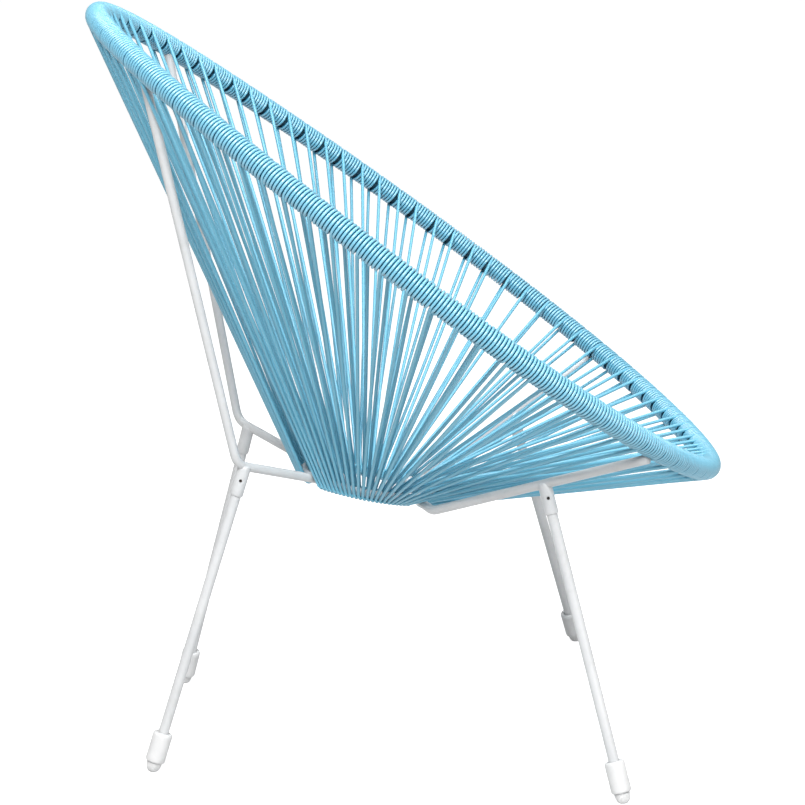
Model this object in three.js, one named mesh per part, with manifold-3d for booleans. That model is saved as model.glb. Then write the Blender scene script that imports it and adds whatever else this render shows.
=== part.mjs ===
// A round lounge chair for the patio: an inclined egg-shaped steel hoop wound with soft cord,
// cords strung from the hoop down round a small steel ring, and four arms that carry both
// on four plugged-in legs. Millimetres, +Z up, the sitter faces -Y, left is the sitter's left (+X).

import * as THREE from 'three';
import { mergeVertices } from 'three/addons/utils/BufferGeometryUtils.js';
import Module from 'manifold-3d';

const wasm = await Module();
wasm.setup();

const { Vector3 } = THREE;
const degrees = Math.PI / 180;

// Clearances
const fitGap = 0.3; // between pieces that touch or are welded on the real chair
const plugGap = 0.2; // on each side of a tube pushed into a bore
const cutOverrun = 2; // how far a cutting tool runs past the face it cuts

// Rim hoop: the egg-shaped steel hoop inside the winding
const hoopDiameter = 18.4;
const hoopCentreY = 0;
const hoopCentreZ = 584;
const hoopTilt = 37.2 * degrees;
const hoopHalfLength = 433;
const hoopHalfWidth = 350;
const hoopEggShares = [1, -0.118, 0.018, 0.012]; // swell of the half width from the back to the front

// Cord
const cordDiameter = 4.1;
const strandSideShare = 0.86; // side of the square strand that has the round cord's section
const sectionCount = 14; // lengths of cord, each wound and strung in one piece
const loopsPerSection = 6; // loops down round the ring and back in one length of cord
const loopCount = sectionCount * loopsPerSection;
const rearLoops = 6.5; // from the middle of the back to the rear arm
const sideLoops = 23; // from the rear arm to the front arm
const sideEndShare = 0.371; // of the hoop's length, where the even spacing ends
const frontCrowdingShare = 0.19; // how much denser than their mean the loops are at the middle of the front
const windingSides = 8;
const hoopSides = 8;
const boreRingsPerSection = 3;
const wrapTurns = 4; // equal turns that a strand makes as it goes round the hub ring
const crowdedShare = 0.94; // widest that a strand may be, of the tightest spacing inside the hub ring
const strandOffsetShare = 0.75; // how far to the side of the hoop's middle a strand leaves the winding, in wound radii

// Hub ring: the small steel ring that the loops go round
const ringDiameter = 10.5;
const ringCentreY = 54;
const ringCentreZ = 297;
const ringTilt = 12.2 * degrees;
const ringHalfLength = 76;
const ringHalfWidth = 57;
const ringSteps = 32;
// Where the arms meet the ring: angle from its back
const ringRearAngle = 36.5 * degrees;
const ringFrontAngle = 138 * degrees;

// Arms: bent steel rods from the hub ring to the hoop
const armDiameter = 10.5;
const armSides = 8;
const armBendRadius = 24;
const bendSteps = 4;
const rearArmHoopShare = 0.08125; // of the hoop's length, from the middle of the back
const frontArmHoopShare = 0.372;
const rearCorner = { x: 111.7, y: 204.7, z: 348 };
const rearCornerOffset = 4.2; // the right corner is this much further forward, and the left this much further back
const frontBend = { x: 80, y: -20, z: 281 };
const frontArmUnderHoop = 16.4; // how far below the middle of the hoop the front arm ends

// Legs, their sockets and screws
const legDiameter = 12;
const legWall = 1.2;
const legSides = 12;
const socketDiameter = 15.2;
const socketLength = 34; // measured from the arm's middle
const rearSocketAlongArm = 14.4; // from the corner bend
const rearSocketOffset = 3; // less than that on the right, and more on the left
const frontSocketAlongArm = 163.5; // from the front bend
const frontSocketOffset = 5; // more than that on the right, and less on the left
const legTopBelowArm = 8; // from the arm's middle
const rearFoot = { x: 148.4, y: 299.2 };
const frontFoot = { x: 275.3, y: -220.4 };
const rearFootOffset = 8.1; // the right leg stands this much further back, and the left this much further forward
const frontFootOffset = 3.2;
const screwDiameter = 3.2;
const screwLength = 4.6;
const screwRecessDiameter = 1.6;
const screwRecessDepth = 1.2;
const screwBelowArm = 16;
const screwSides = 10;

// Feet
const sleeveDiameter = 22.6;
const sleeveLength = 35;
const sleeveFloor = 3; // closed end below the leg
const sleeveEdge = 2; // rounded edge
const tipDiameter = 17.6;
const tipLength = 12;
const tipRibCount = 3;
const tipRibHeight = 1.7;
const tipRibDepth = 0.7;
const studDiameter = 6;
const flatAtFloor = 0.6; // depth of the worn flat that stands on the floor
const footSides = 12;
const domeSteps = 4;

// Materials
const paint = (name) => new THREE.MeshStandardMaterial({ name, color: 0xe9ecec, roughness: 0.35, metalness: 0.1 });
const cordMaterial = new THREE.MeshStandardMaterial({ name: 'cord', color: 0x6fb4d2, roughness: 0.4, metalness: 0 });
const steelPaint = paint('white paint');
const plastic = new THREE.MeshStandardMaterial({ name: 'white plastic', color: 0xe4e8e8, roughness: 0.45, metalness: 0 });
const zinc = new THREE.MeshStandardMaterial({ name: 'screw', color: 0x55585a, roughness: 0.4, metalness: 0.9 });

// Radii that several pieces share
const hoopRadius = hoopDiameter / 2;
const woundRadius = hoopRadius + cordDiameter;
const armRadius = armDiameter / 2;
const ringRadius = ringDiameter / 2;
const legRadius = legDiameter / 2;
const strandSide = cordDiameter * strandSideShare;

// Closed meshes from rings of points

// Joins rings of points, each with the same number of points, into one closed skin.
// A closed loop joins its last ring to its first; otherwise both ends get a flat cap.
function skin(rings, loop = false) {
  const sides = rings[0].length;
  const positions = rings.flat().flatMap((p) => [p.x, p.y, p.z]);
  const index = [];
  const spans = loop ? rings.length : rings.length - 1;
  for (let i = 0; i < spans; i += 1) {
    const a = i * sides;
    const b = ((i + 1) % rings.length) * sides;
    for (let j = 0; j < sides; j += 1) {
      const k = (j + 1) % sides;
      index.push(a + j, a + k, b + k, a + j, b + k, b + j);
    }
  }
  if (!loop) {
    const last = (rings.length - 1) * sides;
    for (let j = 1; j < sides - 1; j += 1) {
      index.push(0, j + 1, j, last, last + j, last + j + 1);
    }
  }
  const geometry = new THREE.BufferGeometry();
  geometry.setAttribute('position', new THREE.Float32BufferAttribute(positions, 3));
  geometry.setIndex(index);
  return geometry;
}

// A ring of points round a centre, in the plane of two unit vectors; across x up points along the path.
function ringOfPoints(centre, across, up, radius, sides, turn = 0) {
  return Array.from({ length: sides }, (_, j) => {
    const angle = ((j + turn) / sides) * 2 * Math.PI;
    return centre
      .clone()
      .addScaledVector(across, radius * Math.cos(angle))
      .addScaledVector(up, radius * Math.sin(angle));
  });
}

// A round rod along a list of points, mitred at each of them.
function rod(points, radius, sides) {
  const directions = points.slice(1).map((p, i) => p.clone().sub(points[i]).normalize());
  const first = directions[0];
  const guide = Math.abs(first.z) > Math.SQRT1_2 ? new Vector3(1, 0, 0) : new Vector3(0, 0, 1);
  let across = new Vector3().crossVectors(guide, first).normalize();
  const rings = points.map((point, i) => {
    const before = directions[Math.max(i - 1, 0)];
    const after = directions[Math.min(i, directions.length - 1)];
    const mitre = before.clone().add(after).normalize();
    const up = new Vector3().crossVectors(before, across).normalize();
    const ring = ringOfPoints(point, across, up, radius, sides, 1 / 2).map((p) => {
      const slip = p.clone().sub(point).dot(mitre) / before.dot(mitre);
      return p.addScaledVector(before, -slip);
    });
    across = across.clone().addScaledVector(after, -across.dot(after)).normalize();
    return ring;
  });
  return skin(rings);
}

// The points of a path of straight runs with round bends at its inner points.
function bentPath(corners, bendRadius) {
  const path = [corners[0]];
  for (let i = 1; i < corners.length - 1; i += 1) {
    const into = corners[i].clone().sub(corners[i - 1]);
    const out = corners[i + 1].clone().sub(corners[i]);
    const bend = into.angleTo(out);
    const limit = Math.min(into.length(), out.length()) / 2;
    const reach = Math.min(bendRadius * Math.tan(bend / 2), limit);
    const start = corners[i].clone().addScaledVector(into.normalize(), -reach);
    const end = corners[i].clone().addScaledVector(out.normalize(), reach);
    for (let k = 0; k <= bendSteps; k += 1) {
      const f = k / bendSteps;
      const a = start.clone().lerp(corners[i], f);
      path.push(a.lerp(corners[i].clone().lerp(end, f), f));
    }
  }
  path.push(corners[corners.length - 1]);
  return path;
}

// Solids that are cut or joined

function solid(geometry) {
  const bare = geometry.clone();
  bare.deleteAttribute('normal');
  bare.deleteAttribute('uv');
  const merged = mergeVertices(bare);
  return new wasm.Manifold(
    new wasm.Mesh({
      numProp: 3,
      vertProperties: Float32Array.from(merged.attributes.position.array),
      triVerts: Uint32Array.from(merged.index.array),
    }),
  );
}

function geometryOf(body) {
  const mesh = body.getMesh();
  const geometry = new THREE.BufferGeometry();
  geometry.setAttribute('position', new THREE.BufferAttribute(mesh.vertProperties, 3));
  geometry.setIndex(new THREE.BufferAttribute(mesh.triVerts, 1));
  return geometry;
}

const cut = (geometry, ...tools) =>
  geometryOf(tools.reduce((body, tool) => body.subtract(solid(tool)), solid(geometry)));

// The hoop's middle line: an egg in a plane that slopes up from the front to the back

const slopeUp = new Vector3(0, Math.cos(hoopTilt), Math.sin(hoopTilt));
const hoopNormal = new Vector3(0, -Math.sin(hoopTilt), Math.cos(hoopTilt));
const hoopCentre = new Vector3(0, hoopCentreY, hoopCentreZ);

function hoopPointAt(angle) {
  const swell = hoopEggShares.reduce((sum, share, n) => sum + share * Math.cos(n * angle), 0);
  return hoopCentre
    .clone()
    .addScaledVector(slopeUp, hoopHalfLength * Math.cos(angle))
    .add(new Vector3(-hoopHalfWidth * Math.sin(angle) * swell, 0, 0));
}

// Any closed curve, walked by the share of its length that has been covered.
function byLength(pointAt) {
  const samples = 1440;
  const angles = Array.from({ length: samples + 1 }, (_, i) => (i / samples) * 2 * Math.PI);
  const lengths = [0];
  for (let i = 1; i <= samples; i += 1) {
    lengths.push(lengths[i - 1] + pointAt(angles[i]).distanceTo(pointAt(angles[i - 1])));
  }
  const total = lengths[samples];
  const angleAt = (share) => {
    const wanted = (share - Math.floor(share)) * total;
    let i = lengths.findIndex((length) => length > wanted);
    if (i < 1) i = 1;
    const part = (wanted - lengths[i - 1]) / (lengths[i] - lengths[i - 1]);
    return angles[i - 1] + part * (angles[i] - angles[i - 1]);
  };
  const shareAt = (angle) => {
    const i = Math.min(Math.floor((angle / (2 * Math.PI)) * samples), samples - 1);
    const part = (angle - angles[i]) / (angles[i + 1] - angles[i]);
    return (lengths[i] + part * (lengths[i + 1] - lengths[i])) / total;
  };
  const step = 1 / samples;
  const tangentAt = (share) =>
    pointAt(angleAt(share + step)).sub(pointAt(angleAt(share - step))).normalize();
  return { total, shareAt, tangentAt, pointAt: (share) => pointAt(angleAt(share)) };
}

const hoop = byLength(hoopPointAt);

// The hub ring's middle line
const ringSlope = new Vector3(0, Math.cos(ringTilt), Math.sin(ringTilt));
const ringNormal = new Vector3(0, -Math.sin(ringTilt), Math.cos(ringTilt));
const ringCentre = new Vector3(0, ringCentreY, ringCentreZ);
const ring = byLength((angle) =>
  ringCentre
    .clone()
    .addScaledVector(ringSlope, ringHalfLength * Math.cos(angle))
    .add(new Vector3(-ringHalfWidth * Math.sin(angle), 0, 0)),
);

function ringSection(share, radius, sides) {
  const outward = new Vector3().crossVectors(ring.tangentAt(share), ringNormal).normalize();
  return ringOfPoints(ring.pointAt(share), ringNormal, outward, radius, sides, 1 / 2);
}

// The ring's rod is straight from step to step, and what goes round it follows those chords.
function ringChordAt(share) {
  const step = Math.floor(share * ringSteps);
  const from = ring.pointAt(step / ringSteps);
  return from.lerp(ring.pointAt((step + 1) / ringSteps), share * ringSteps - step);
}

// A ring of points round the hoop at a share of its length, with a flat that looks at the hub ring
function hoopSection(share, radius, sides) {
  const tangent = hoop.tangentAt(share);
  const toHub = ring.pointAt(share).sub(hoop.pointAt(share));
  const across = toHub.addScaledVector(tangent, -toHub.dot(tangent)).normalize();
  const up = new Vector3().crossVectors(tangent, across);
  return ringOfPoints(hoop.pointAt(share), across, up, radius, sides, 1 / 2);
}

// Both curves run from the middle of the back round the right side (-X) to the front.
// A piece on the left side is the mirror image of the right one.
const sides = [
  { name: 'right', sign: 1 },
  { name: 'left', sign: -1 },
];
const mirrored = (side, v) => new Vector3(v.x * side.sign, v.y, v.z);
const shareOn = (side, share) => (side.sign > 0 ? share : 1 - share);

// Arms

const rearRingShare = ring.shareAt(ringRearAngle);
const frontRingShare = ring.shareAt(ringFrontAngle);

const rearCornerPoint = (side) =>
  mirrored(side, new Vector3(-rearCorner.x, rearCorner.y - side.sign * rearCornerOffset, rearCorner.z));

function rearArmPath(side) {
  return bentPath(
    [
      hoop.pointAt(shareOn(side, rearArmHoopShare)),
      rearCornerPoint(side),
      ring.pointAt(shareOn(side, rearRingShare)),
    ],
    armBendRadius,
  );
}

const frontArmEnd = (side) => hoop.pointAt(shareOn(side, frontArmHoopShare)).add(new Vector3(0, 0, -frontArmUnderHoop));
const frontBendPoint = (side) => mirrored(side, new Vector3(-frontBend.x, frontBend.y, frontBend.z));

function frontArmPath(side) {
  return bentPath(
    [
      ring.pointAt(shareOn(side, frontRingShare)),
      frontBendPoint(side),
      frontArmEnd(side),
    ],
    armBendRadius,
  );
}

// Loops are numbered from the middle of the back round the right side. No loop crosses an arm,
// so each stretch of the ring between two arms has the loops of the same stretch of the hoop.
const armHalf = (armRadius + cordDiameter * strandSideShare) / ring.total;
const endBend = ringHalfWidth ** 2 / ringHalfLength; // radius of the ring's bend at its two ends
const sideBend = ringHalfLength ** 2 / ringHalfWidth;
const stretches = [
  { loops: rearLoops, hoopEnd: rearArmHoopShare, from: 0, to: rearRingShare - armHalf, bend: endBend, crowding: 0 },
  {
    loops: sideLoops,
    hoopEnd: sideEndShare,
    from: rearRingShare + armHalf,
    to: frontRingShare - armHalf,
    bend: sideBend,
    crowding: 0,
  },
  {
    loops: loopCount / 2 - rearLoops - sideLoops,
    hoopEnd: 1 / 2,
    from: frontRingShare + armHalf,
    to: 1 / 2,
    bend: endBend,
    crowding: frontCrowdingShare,
  },
];

// The stretch that a place between loops is in, how far along it that is, and what is on the left side
function stretchOf(n) {
  const inTurn = n - Math.floor(n / loopCount) * loopCount;
  const onRight = inTurn <= loopCount / 2;
  const own = onRight ? inTurn : loopCount - inTurn; // loops from the back along either side
  let before = 0;
  let hoopStart = 0;
  for (const stretch of stretches) {
    if (own <= before + stretch.loops || stretch === stretches[stretches.length - 1]) {
      return { stretch, onRight, hoopStart, covered: (own - before) / stretch.loops };
    }
    before += stretch.loops;
    hoopStart = stretch.hoopEnd;
  }
  return null;
}

// The share of the hoop's length at a loop, and at places between two loops
function hoopShareOfLoop(n) {
  const { stretch, onRight, hoopStart, covered } = stretchOf(n);
  const eased = covered + stretch.crowding * covered * (1 - covered);
  const share = hoopStart + eased * (stretch.hoopEnd - hoopStart);
  return Math.floor(n / loopCount) + (onRight ? share : 1 - share);
}

// The share of the ring's length a part of a loop past loop number n
function ringShareOfLoop(n, part) {
  const { stretch, onRight, covered } = stretchOf(n);
  const passed = covered + (onRight ? part : -part) / stretch.loops;
  const share = stretch.from + passed * (stretch.to - stretch.from);
  return onRight ? share : 1 - share;
}

// The strands crowd inside the ring, most at its two ends, where it bends most.
function ringStrandSide(n) {
  const { stretch } = stretchOf(n);
  const reach = ringRadius + cordDiameter;
  const pitch = (((stretch.to - stretch.from) * ring.total) / stretch.loops) * (1 - reach / stretch.bend);
  return Math.min(strandSide, crowdedShare * pitch);
}

// Where each length of cord starts: midway between two loops
const sectionStart = (section) => hoopShareOfLoop(section * loopsPerSection - 1 / 2);

// Cutting tools: the hoop and the ring, each with its clearance
const hoopRod = (radius, sideCount) => {
  const rings = [];
  for (let section = 0; section < sectionCount; section += 1) {
    const from = sectionStart(section);
    const to = sectionStart(section + 1);
    for (let i = 0; i < boreRingsPerSection; i += 1) {
      rings.push(hoopSection(from + (i / boreRingsPerSection) * (to - from), radius, sideCount));
    }
  }
  return skin(rings, true);
};
const ringRod = (radius, sideCount) =>
  skin(
    Array.from({ length: ringSteps }, (_, i) => ringSection(i / ringSteps, radius, sideCount)),
    true,
  );
const roundUp = (sideCount) => 1 / Math.cos(Math.PI / sideCount); // flats of a polygon clear the circle

const hoopTool = hoopRod((hoopRadius + fitGap) * roundUp(hoopSides), hoopSides);
const ringTool = ringRod((ringRadius + fitGap) * roundUp(armSides), armSides);

// Cord: one length winds its part of the hoop and makes its loops round the ring

const wrapRadius = ringRadius + fitGap + strandSide / 2;

// A strand leaves the flat of the winding beside the one that looks at the hub ring
const strandLeaves = (2 * Math.PI) / windingSides;
const strandOffset = woundRadius * strandOffsetShare;
const wallMiddle = ((hoopRadius + fitGap) + woundRadius / roundUp(windingSides)) / 2;
const strandRise = (wallMiddle - strandOffset * Math.sin(strandLeaves)) / Math.cos(strandLeaves);

// A strand loop: from the inner face of the winding down inside the ring, under it,
// up outside it and back to the outer face of the winding.
function strandLoop(n) {
  const quarterTurn = cordDiameter / 4 / hoop.total;
  const middleHoop = hoopShareOfLoop(n);
  const downHoop = middleHoop - quarterTurn;
  const backHoop = middleHoop + quarterTurn;
  const wrapShare = ringShareOfLoop(n, 0);
  const wrapStep = ringShareOfLoop(n, 1 / 4) - wrapShare;
  const aside = ring.tangentAt(wrapShare);
  const straight = ringChordAt(wrapShare).sub(hoop.pointAt(middleHoop)).normalize();
  const outside = new Vector3().crossVectors(straight, aside).normalize();
  const under = new Vector3().crossVectors(aside, outside);
  const half = strandSide / 2;
  const ringHalf = ringStrandSide(n) / 2;

  const wrap = Array.from({ length: wrapTurns }, (_, i) => {
    const covered = (i + 1 / 2) / wrapTurns;
    const turn = covered * Math.PI;
    const radial = under
      .clone()
      .multiplyScalar(Math.sin(turn))
      .addScaledVector(outside, -Math.cos(turn));
    const share = wrapShare + wrapStep * (2 * covered - 1);
    const mitre = roundUp(2 * wrapTurns);
    return {
      at: ringChordAt(share).addScaledVector(radial, wrapRadius * mitre),
      out: radial.multiplyScalar(mitre),
      width: ringHalf,
    };
  });
  const leave = (hoopShare, wrapEnd, face) => {
    const from = hoop.pointAt(hoopShare);
    const along = wrapEnd.clone().sub(from).normalize();
    const out = new Vector3().crossVectors(along, hoop.tangentAt(hoopShare)).normalize();
    return {
      at: from.addScaledVector(out, face * strandOffset).addScaledVector(along, strandRise),
      out: outside.clone().multiplyScalar(face).addScaledVector(along, -Math.tan(strandLeaves)),
      width: half,
    };
  };
  const stations = [
    leave(downHoop, wrap[0].at, -1),
    ...wrap,
    leave(backHoop, wrap[wrapTurns - 1].at, 1),
  ];
  const corners = [
    [1, 1],
    [1, -1],
    [-1, -1],
    [-1, 1],
  ];
  const rings = stations.map(({ at, out, width }) =>
    corners.map(([a, b]) => at.clone().addScaledVector(aside, a * width).addScaledVector(out, b * half)),
  );
  return skin(rings);
}

// The winding of one length of cord: a bored sleeve
function winding(section) {
  const from = sectionStart(section) + fitGap / 2 / hoop.total;
  const to = sectionStart(section + 1) - fitGap / 2 / hoop.total;
  const at = (f) => from + f * (to - from);
  const outer = Array.from({ length: loopsPerSection + 1 }, (_, i) =>
    hoopSection(at(i / loopsPerSection), woundRadius, windingSides),
  );
  const boreRadius = (hoopRadius + fitGap) * roundUp(windingSides);
  const bore = Array.from({ length: boreRingsPerSection + 1 }, (_, i) =>
    hoopSection(at(i / boreRingsPerSection), boreRadius, windingSides),
  );
  return skin([...outer, ...bore.reverse()], true);
}

// Sockets, legs, screws and feet share one axis per leg, from the arm's middle to the floor

function onRun(from, to, distance) {
  return from.clone().addScaledVector(to.clone().sub(from).normalize(), distance);
}

function legAxis(side, end) {
  if (end === 'rear') {
    const ringEnd = ring.pointAt(shareOn(side, rearRingShare));
    const top = onRun(rearCornerPoint(side), ringEnd, rearSocketAlongArm - side.sign * rearSocketOffset);
    const skewed = rearFoot.y + side.sign * rearFootOffset;
    return { top, foot: mirrored(side, new Vector3(-rearFoot.x, skewed, 0)) };
  }
  const along = frontSocketAlongArm + side.sign * frontSocketOffset;
  const top = onRun(frontBendPoint(side), frontArmEnd(side), along);
  const skewed = frontFoot.y + side.sign * frontFootOffset;
  return { top, foot: mirrored(side, new Vector3(-frontFoot.x, skewed, 0)) };
}

// Puts a piece whose own axis is -Z from the arm down onto the leg's axis, with +X facing outboard.
function alongLeg(geometry, { top, foot }) {
  const down = foot.clone().sub(top).normalize();
  const back = down.clone().negate();
  const outboard = new Vector3(Math.sign(foot.x), 0, 0);
  outboard.addScaledVector(back, -outboard.dot(back)).normalize();
  const third = new Vector3().crossVectors(back, outboard);
  const placing = new THREE.Matrix4().makeBasis(outboard, third, back).setPosition(top);
  return geometry.clone().applyMatrix4(placing);
}

// A lathe piece about Z from a profile of [radius, height] pairs, listed from the bottom up.
function turned(profile, sideCount) {
  const points = profile.map(([r, z]) => new THREE.Vector2(r, z));
  const lathe = new THREE.LatheGeometry(points, sideCount);
  lathe.rotateX(Math.PI / 2);
  lathe.deleteAttribute('normal');
  lathe.deleteAttribute('uv');
  return mergeVertices(lathe);
}

// The screw hole's tool, square to the leg's axis, out through the outboard wall
function screwHole() {
  const reach = socketDiameter / 2 + cutOverrun;
  const hole = new THREE.CylinderGeometry(
    screwDiameter / 2 + fitGap,
    screwDiameter / 2 + fitGap,
    reach,
    screwSides,
  );
  hole.rotateZ(Math.PI / 2);
  hole.translate(reach / 2, 0, -screwBelowArm);
  return hole;
}

function legSocket(axis, armPath) {
  const outer = socketDiameter / 2;
  const bore = legRadius * roundUp(legSides) + plugGap;
  const tube = turned(
    [
      [bore, -socketLength],
      [outer, -socketLength],
      [outer, 0],
      [bore, 0],
      [bore, -socketLength],
    ],
    legSides,
  );
  const armTool = rod(armPath, (armRadius + fitGap) * roundUp(armSides), armSides);
  return cut(alongLeg(tube, axis), armTool, alongLeg(screwHole(), axis));
}

function legTube(axis) {
  const length = axis.top.distanceTo(axis.foot);
  const bottom = -(length - tipLength - sleeveFloor - fitGap);
  const tube = turned(
    [
      [legRadius - legWall, bottom],
      [legRadius, bottom],
      [legRadius, -legTopBelowArm],
      [legRadius - legWall, -legTopBelowArm],
      [legRadius - legWall, bottom],
    ],
    legSides,
  );
  return cut(alongLeg(tube, axis), alongLeg(screwHole(), axis));
}

function legScrew(axis) {
  const outside = socketDiameter / 2 - fitGap;
  const screw = turned(
    [
      [0, 0],
      [screwDiameter / 2, 0],
      [screwDiameter / 2, screwLength],
      [screwRecessDiameter / 2, screwLength],
      [screwRecessDiameter / 2, screwLength - screwRecessDepth],
      [0, screwLength - screwRecessDepth],
    ],
    screwSides,
  );
  screw.rotateY(Math.PI / 2);
  screw.translate(outside - screwLength, 0, -screwBelowArm);
  return alongLeg(screw, axis);
}

function footSleeve(axis) {
  const length = axis.top.distanceTo(axis.foot);
  const bottom = -(length - tipLength);
  const outer = sleeveDiameter / 2;
  const bore = legRadius * roundUp(footSides) + plugGap;
  const studBore = studDiameter / 2 + fitGap;
  return alongLeg(
    turned(
      [
        [studBore, bottom],
        [outer - sleeveEdge, bottom],
        [outer, bottom + sleeveEdge],
        [outer, bottom + sleeveLength - sleeveEdge],
        [outer - sleeveEdge, bottom + sleeveLength],
        [bore, bottom + sleeveLength],
        [bore, bottom + sleeveFloor],
        [studBore, bottom + sleeveFloor],
        [studBore, bottom],
      ],
      footSides,
    ),
    axis,
  );
}

function footTip(axis) {
  const length = axis.top.distanceTo(axis.foot);
  const top = -(length - tipLength) - fitGap;
  const outer = tipDiameter / 2;
  const ribs = Array.from({ length: tipRibCount }, (_, i) => {
    const upper = top - i * tipRibHeight;
    return [
      [outer, upper - tipRibHeight / 2],
      [outer - tipRibDepth, upper - tipRibHeight],
    ];
  });
  const domeTop = top - tipRibCount * tipRibHeight;
  const domeBottom = -length - flatAtFloor;
  const domeHeight = domeTop - domeBottom;
  const dome = Array.from({ length: domeSteps - 1 }, (_, k) => {
    const angle = ((k + 1) / domeSteps) * (Math.PI / 2);
    return [(outer - tipRibDepth) * Math.cos(angle), domeTop - domeHeight * Math.sin(angle)];
  });
  const profile = [
    [0, domeBottom],
    ...dome.reverse(),
    ...ribs.flat().reverse(),
    [outer - tipRibDepth, top],
    [studDiameter / 2, top],
    [studDiameter / 2, top + sleeveFloor],
    [0, top + sleeveFloor],
  ];
  const below = new THREE.BoxGeometry(sleeveDiameter * 2, sleeveDiameter * 2, sleeveDiameter);
  below.translate(axis.foot.x, axis.foot.y, -sleeveDiameter / 2);
  return cut(alongLeg(turned(profile, footSides), axis), below);
}

// The chair

const chair = new THREE.Group();
function add(name, geometry, material) {
  const mesh = new THREE.Mesh(geometry, material);
  mesh.name = name;
  chair.add(mesh);
}

add('rim_hoop', hoopRod(hoopRadius, hoopSides), steelPaint);
add('hub_ring', ringRod(ringRadius, armSides), steelPaint);

const armTools = [];
for (const side of sides) {
  const rear = rearArmPath(side);
  const front = frontArmPath(side);
  add(`rear_arm_${side.name}`, cut(rod(rear, armRadius, armSides), hoopTool, ringTool), steelPaint);
  add(`front_arm_${side.name}`, cut(rod(front, armRadius, armSides), hoopTool, ringTool), steelPaint);
  for (const path of [rear, front]) {
    armTools.push(solid(rod(path, (armRadius + fitGap) * roundUp(armSides), armSides)));
  }
  for (const [end, path] of [
    ['rear', rear],
    ['front', front],
  ]) {
    const axis = legAxis(side, end);
    const place = `${end}_${side.name}`;
    add(`leg_socket_${place}`, legSocket(axis, path), steelPaint);
    add(`leg_tube_${place}`, legTube(axis), steelPaint);
    add(`leg_screw_${place}`, legScrew(axis), zinc);
    add(`foot_sleeve_${place}`, footSleeve(axis), plastic);
    add(`foot_tip_${place}`, footTip(axis), plastic);
  }
}

for (let section = 0; section < sectionCount; section += 1) {
  let cord = solid(winding(section));
  for (let i = 0; i < loopsPerSection; i += 1) {
    cord = cord.add(solid(strandLoop(section * loopsPerSection + i)));
  }
  for (const tool of armTools) {
    if (!cord.intersect(tool).isEmpty()) cord = cord.subtract(tool);
  }
  add(`seat_cord_${String(section + 1).padStart(2, '0')}`, geometryOf(cord), cordMaterial);
}

export default chair;
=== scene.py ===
# A round lounge chair: an egg-shaped steel hoop wound with light blue cord, strung down
# to a small hub ring, on four bent arms and four plugged-in legs. Lengths are written in
# millimetres in the part's own frame and turned into metres when a mesh is made.

import math

import bpy
import numpy as np
from mathutils import Matrix


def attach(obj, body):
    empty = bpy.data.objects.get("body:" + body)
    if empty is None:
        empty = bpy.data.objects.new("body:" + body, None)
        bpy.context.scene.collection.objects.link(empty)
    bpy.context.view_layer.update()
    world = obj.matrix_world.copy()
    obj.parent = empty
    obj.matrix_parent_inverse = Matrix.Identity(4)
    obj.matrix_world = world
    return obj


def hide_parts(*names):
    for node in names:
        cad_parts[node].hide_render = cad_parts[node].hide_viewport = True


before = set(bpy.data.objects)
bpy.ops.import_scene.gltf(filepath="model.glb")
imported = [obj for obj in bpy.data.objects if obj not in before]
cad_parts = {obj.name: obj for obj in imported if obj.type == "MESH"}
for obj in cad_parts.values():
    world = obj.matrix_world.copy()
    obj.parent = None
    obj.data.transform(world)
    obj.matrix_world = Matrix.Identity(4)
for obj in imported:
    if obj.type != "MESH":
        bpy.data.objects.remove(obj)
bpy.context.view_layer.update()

MM = 0.001
TURN = 2 * math.pi
FIT_GAP = 0.3  # between two pieces

# Rim hoop
HOOP_RADIUS = 9.2
HOOP_CENTRE = np.array([0.0, 0.0, 584.0])
HOOP_TILT = math.radians(37.2)
HOOP_HALF_LENGTH = 433.0
HOOP_HALF_WIDTH = 350.0
HOOP_EGG = (1, -0.118, 0.018, 0.012)

# Hub ring
RING_RADIUS = 5.25
RING_CENTRE = np.array([0.0, 54.0, 297.0])
RING_TILT = math.radians(12.2)
RING_HALF_LENGTH = 76.0
RING_HALF_WIDTH = 57.0
RING_REAR_ANGLE = math.radians(36.5)
RING_FRONT_ANGLE = math.radians(138)
RING_STEPS = 128

# Cord
CORD_RADIUS = 2.05
PRESSED = 1.90  # half width of the cord where it is wound
TURN_GAP = 0.02  # between two turns
SECTIONS = 14
LOOPS_PER_SECTION = 6
LOOPS = SECTIONS * LOOPS_PER_SECTION
REAR_LOOPS = 6.5  # from the middle of the back to the rear arm
SIDE_LOOPS = 23.0  # from the rear arm to the front arm
SIDE_END = 0.371  # share of the hoop's length where the even spacing ends
FRONT_CROWDING = 0.19
PILED = 3.3  # how far out every other loop lies in the crowd at the front of the hub ring
BESIDE_ARM = 3.5  # room that the cord leaves beside an arm on the hub ring
WOUND = HOOP_RADIUS + CORD_RADIUS  # middle of the cord round the hoop
WRAPPED = RING_RADIUS + CORD_RADIUS  # middle of the cord round the hub ring

# Arms
ARM_RADIUS = 5.25
ARM_BEND = 24.0
ROD_SIDES = 20
REAR_CORNER = np.array([111.7, 204.7, 348.0])
REAR_CORNER_SKEW = 4.2  # the right corner is this much further forward, and the left further back
FRONT_BEND = np.array([80.0, -20.0, 281.0])
REAR_ARM_SHARE = 0.08125  # of the hoop's length
FRONT_ARM_SHARE = 0.372
FRONT_ARM_UNDER_HOOP = 16.4

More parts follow.
